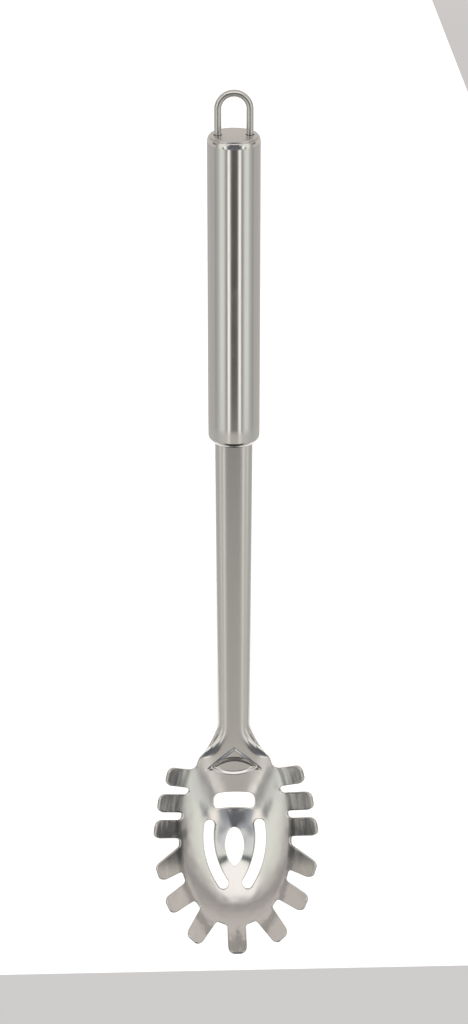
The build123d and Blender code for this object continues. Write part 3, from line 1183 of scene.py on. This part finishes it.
def polish(tree, colour, shade, roughness, height):
    """The shader of one steel: shade scales the colour, and a height of 1 is one scratch."""
    normal = tree.node("ShaderNodeBump", None, {"Height": height, "Distance": scratch_depth})
    shader = tree.node(
        "ShaderNodeBsdfPrincipled", None,
        {
            "Base Color": tree.vector("SCALE", colour, shade),
            "Metallic": 1.0,
            "Roughness": roughness,
            "Normal": normal,
        },
    )
    tree.node("ShaderNodeOutputMaterial", None, {"Surface": shader})
    print("nodes of the finish:", len(tree.made.nodes))


def tree_of(name):
    """The empty tree of one finish."""
    finishes[name].use_nodes = True
    return Tree(finishes[name].node_tree)


# %% [markdown]
# ## The finish of the pressing
#
# The shank was sanded lengthwise and stays satin. The bowl was buffed to a soft mirror after it
# was drawn, and a mirror tells on every unevenness: the sheet is never quite even where it was
# stretched, so the reflections wander. The tines were bent last, over a narrow edge, and kept
# cross marks from it. A band of painted shade darkens the colour in the bend at their roots, where
# the steel shows a dark reflection. One material holds all of this, with masks that follow the egg
# of the rim and the height.

# %% Where the pressing is shank, bowl and tines
egg_half_width, egg_half_height, egg_z = 21.5, 35.0, -287.0
neck_z, flare_z, shank_z = -262.0, -259.0, -240.0

steel = tree_of("pressed_steel")
x, y, z = places(steel)
from_middle = steel.hypot(steel.math("ABSOLUTE", x) / egg_half_width, (z - egg_z) / egg_half_height)
round_rim = steel.math("ARCTAN2", z - egg_z, x)
in_bowl = 1 - steel.step(z, neck_z, shank_z)
below_neck = 1 - steel.step(z, neck_z, flare_z)
on_tine = steel.step(from_middle, 0.95, 1.08) * below_neck
print("nodes of the masks:", len(steel.made.nodes))

# %% Satin shank, polished bowl, streaked tines
sanded = noise(steel, (x * 9.0, y * 9.0, z * 0.35), 3.0)
buffed = noise(steel, (x * 5.0, y * 1.2, z * 1.2), 3.0)
wander = noise(steel, (x * 0.16, y * 0.16, z * 0.12), 1.0)
tine_marks = noise(steel, (from_middle * 5.28, round_rim * 1.2, 0.0), 2.0)
smears = noise(steel, (x * 0.3, y * 0.3, z * 0.12 + 40.0), 3.0)
bend = from_middle + (smears - 0.5) * 0.12
# root is a band round each tine's root. It darkens the colour there as painted shade, standing in
# for the dark reflection in the bend
root = steel.step(bend, 0.97, 1.02) * (1 - steel.step(bend, 1.04, 1.10)) * below_neck

satin = 0.17 + 0.10 * sanded
mirror = 0.085 + 0.05 * buffed + 0.06 * smears
streaked = 0.10 + 0.16 * tine_marks
rough = satin + (mirror - satin) * in_bowl
rough = rough + (streaked - rough) * on_tine
# the last term, 0.34 * root, is the painted shade in the bend at each tine's root
shade = 0.96 + 0.07 * sanded + 0.06 * (smears - 0.5) - 0.05 * on_tine * tine_marks - 0.34 * root
lines = sanded * (1 - in_bowl) * 0.25 + buffed * in_bowl * 0.05
height = lines + wander * in_bowl * 6.0 + tine_marks * on_tine * 11.0
polish(steel, (0.66, 0.64, 0.61), shade, rough, height)

# %% [markdown]
# ## The finish of the tube
#
# The tube is ground on a belt while it turns slowly, so its fine lines run nearly lengthwise.
# It is the part that hands touch: soft smudges make it a little duller here and there.

# %% Brushed tube
steel = tree_of("tube_steel")
x, y, z = places(steel)
ground = noise(steel, (x * 7.0, y * 7.0, z * 0.22), 3.0)
smudges = noise(steel, (x * 0.14, y * 0.14, z * 0.06), 2.0)
rough = 0.045 + 0.07 * ground + 0.06 * steel.step(smudges, 0.45, 0.7)
shade = 0.95 + 0.06 * ground + 0.04 * (smudges - 0.5)
polish(steel, (0.68, 0.66, 0.63), shade, rough, ground * 0.12 + smudges * 0.6)

# %% [markdown]
# ## The finish of the cap and the loop
#
# The cap was faced on a lathe, which leaves rings round its middle. The wire was pulled through
# a die, which leaves lines along it, and its bend was buffed by hand.

# %% Turned cap and drawn wire
steel = tree_of("cap_steel")
x, y, z = places(steel)
rings = noise(steel, (steel.hypot(x, y) * 6.0, z * 1.5, 0.0), 3.0)
grime = noise(steel, (x * 0.5, y * 0.5, z * 0.5), 2.0)
shade = 0.9 + 0.12 * rings + 0.06 * (grime - 0.5)
rough = 0.18 + 0.12 * rings + 0.06 * grime
polish(steel, (0.64, 0.62, 0.59), shade, rough, rings * 0.4)

bend_middle = (leg_x - wire_radius) / MM
steel = tree_of("wire_steel")
x, y, z = places(steel)
from_bend = steel.hypot(x, steel.math("MAXIMUM", z + bend_middle, 0.0))
around = steel.math("ARCTAN2", y, from_bend - leg_x / MM)
drawn = noise(steel, (around * 6.0, z * 0.2, x * 0.2), 3.0)
wear = noise(steel, (x * 0.4, y * 0.4, z * 0.3), 2.0)
shade = 0.92 + 0.08 * drawn + 0.06 * (wear - 0.5)
rough = 0.12 + 0.10 * drawn + 0.05 * wear
polish(steel, (0.65, 0.63, 0.60), shade, rough, drawn * 0.25 + wear * 0.3)

# %% [markdown]
# ## The studio
#
# Polished steel shows the room more than itself, so the room is drawn with care. It is described
# by two angles in degrees: how far a direction turns away from the camera's side, and how high
# it points. The side in front is dark. Beside it stand two bright strips, then grey walls and
# pale panels. A large white cloth hangs overhead, and the dark line low in the bowl lies just
# past its edge. Lamps and panels of mesh could do the same, but a room of angles needs no
# meshes, casts no shadow by accident, and each of its parts is one line to change.

# %% Directions in the room
bpy.context.scene.view_settings.view_transform = "Standard"
world = bpy.data.worlds.new("studio")
bpy.context.scene.world = world
world.use_nodes = True
sky = Tree(world.node_tree)
wx, wy, wz = sky.split(sky.node("ShaderNodeTexCoord", output="Generated"))
turn = sky.math("ABSOLUTE", sky.math("ARCTAN2", wx, -wy)) * (180 / math.pi)
lift = sky.math("ARCSINE", wz) * (180 / math.pi)
ahead = -wy


def band(angle, start, end, soft=2.0):
    """1 between two values and 0 outside them."""
    rising = sky.step(angle, start - soft, start + soft)
    return rising * (1 - sky.step(angle, end - soft, end + soft))


def lay(room, colour, mask):
    """Lays a colour over the room where the mask is 1."""
    return sky.mix(mask, room, (*colour, 1.0))


def round_the_room(*stops):
    """A ramp over the turn, from stops of (degrees, colour)."""
    return sky.ramp(turn / 180, [(degrees / 180, colour) for degrees, colour in stops])


print("the room has its angles")

# %% Walls and floor of the room
low_walls = round_the_room(
    (0, (0.13, 0.125, 0.12)), (10, (0.15, 0.145, 0.14)), (16, (0.42, 0.41, 0.41)),
    (20, (1.25, 1.24, 1.23)), (27, (1.35, 1.34, 1.32)), (31, (0.42, 0.42, 0.42)),
    (37, (0.46, 0.46, 0.46)), (47, (0.90, 0.93, 0.90)), (60, (0.93, 0.97, 0.93)),
    (70, (0.66, 0.68, 0.66)), (78, (0.54, 0.56, 0.53)), (88, (0.44, 0.44, 0.44)),
    (98, (0.57, 0.56, 0.56)), (180, (0.60, 0.58, 0.57)),
)
front_floor = round_the_room(
    (0, (0.60, 0.59, 0.56)), (15, (0.61, 0.60, 0.57)), (22, (0.88, 0.86, 0.83)),
    (27, (0.90, 0.87, 0.84)), (35, (0.70, 0.69, 0.67)), (60, (0.64, 0.64, 0.62)),
    (90, (0.55, 0.57, 0.55)), (110, (0.60, 0.60, 0.58)), (180, (0.62, 0.61, 0.60)),
)
high_walls = sky.ramp(ahead, (
    (0.0, (0.74, 0.70, 0.68)), (0.10, (0.66, 0.62, 0.60)), (0.2, (0.38, 0.37, 0.37)),
    (0.28, (0.60, 0.58, 0.56)), (0.40, (0.93, 0.94, 0.90)), (0.5, (1.05, 1.08, 1.02)),
))
in_front = -9  # below the least turn, so that a band from here has no inner edge
underfoot = band(turn, in_front, 60, 6) * (1 - sky.step(lift, -50, -42))
room = sky.mix(sky.step(lift, -25, -21.5), front_floor, low_walls)
room = lay(room, (0.03, 0.03, 0.035), underfoot)
room = sky.mix(sky.step(lift, -15, -12), room, high_walls)

# %% Panels and cloth of the room
panels = (  # colour, then from, to and softness in turn, and the same in lift
    ((0.24, 0.24, 0.25), (84, 104, 4), (-6, 14, 4)),
    ((0.30, 0.31, 0.34), (43, 52, 2), (-14, -7, 1.5)),
    ((1.40, 1.32, 1.28), (34, 43, 1.5), (-11, 0, 1.5)),
    ((0.40, 0.43, 0.49), (22, 33, 1.5), (-14, 10, 2)),
    ((0.17, 0.18, 0.205), (in_front, 27, 2), (-14, 2, 2)),
    ((0.15, 0.16, 0.18), (in_front, 22, 2), (0, 32, 2)),
    ((0.98, 1.0, 1.05), (22, 33, 1.5), (10, 20, 2)),
    ((0.16, 0.18, 0.19), (in_front, 42, 3), (21, 31, 2)),
)
for colour, turns, lifts in panels:
    room = lay(room, colour, band(turn, *turns) * band(lift, *lifts))
cloth = band(turn, in_front, 58, 4) * sky.step(lift, 31, 38) * sky.step(ahead, 0.26, 0.36)
room = lay(room, (1.38, 1.35, 1.33), cloth)
background = sky.node("ShaderNodeBackground", None, {"Color": room, "Strength": 1.0})
sky.node("ShaderNodeOutputWorld", None, {"Surface": background})
print("nodes of the room:", len(sky.made.nodes))

# %% [markdown]
# ## The floor
#
# The server hangs a little above white paper that runs far back. The paper is lit like anything
# else and keeps the soft shadow, and a faint glow of its own, seen by the camera and in
# reflections, lifts it to white. It is narrow and lies behind the server, as a roll of paper
# does, so that the steel doesn't show white where the room should be.

# %% White paper
paper_glow = 0.45
floor_z = cad_box[0].z - 60 * MM
floor_front, floor_back, floor_side = 0.04, 1.8, 0.24
corners = (
    (-floor_side, floor_front), (floor_side, floor_front),
    (floor_side, floor_back), (-floor_side, floor_back),
)
floor_mesh = bpy.data.meshes.new("floor")
floor_mesh.from_pydata([(x, y, floor_z) for x, y in corners], [], [(0, 1, 2, 3)])
in_scene("floor", floor_mesh)

paper = bpy.data.materials.new("paper")
paper.use_nodes = True
floor_mesh.materials.append(paper)
stock = Tree(paper.node_tree)
rays = stock.node("ShaderNodeLightPath", output="Is Camera Ray")
seen = rays + rays.of("Is Glossy Ray") + rays.of("Is Transmission Ray")
strength = stock.math("MINIMUM", seen, 1.0) * paper_glow
lit = stock.node("ShaderNodeBsdfDiffuse", None, {"Color": (0.9, 0.9, 0.9, 1.0)})
glow = stock.node("ShaderNodeEmission", None, {"Strength": strength})
both = stock.node("ShaderNodeAddShader", None, {0: lit, 1: glow})
stock.node("ShaderNodeOutputMaterial", None, {"Surface": both})
print("floor at", round(floor_z / MM, 1), "mm")
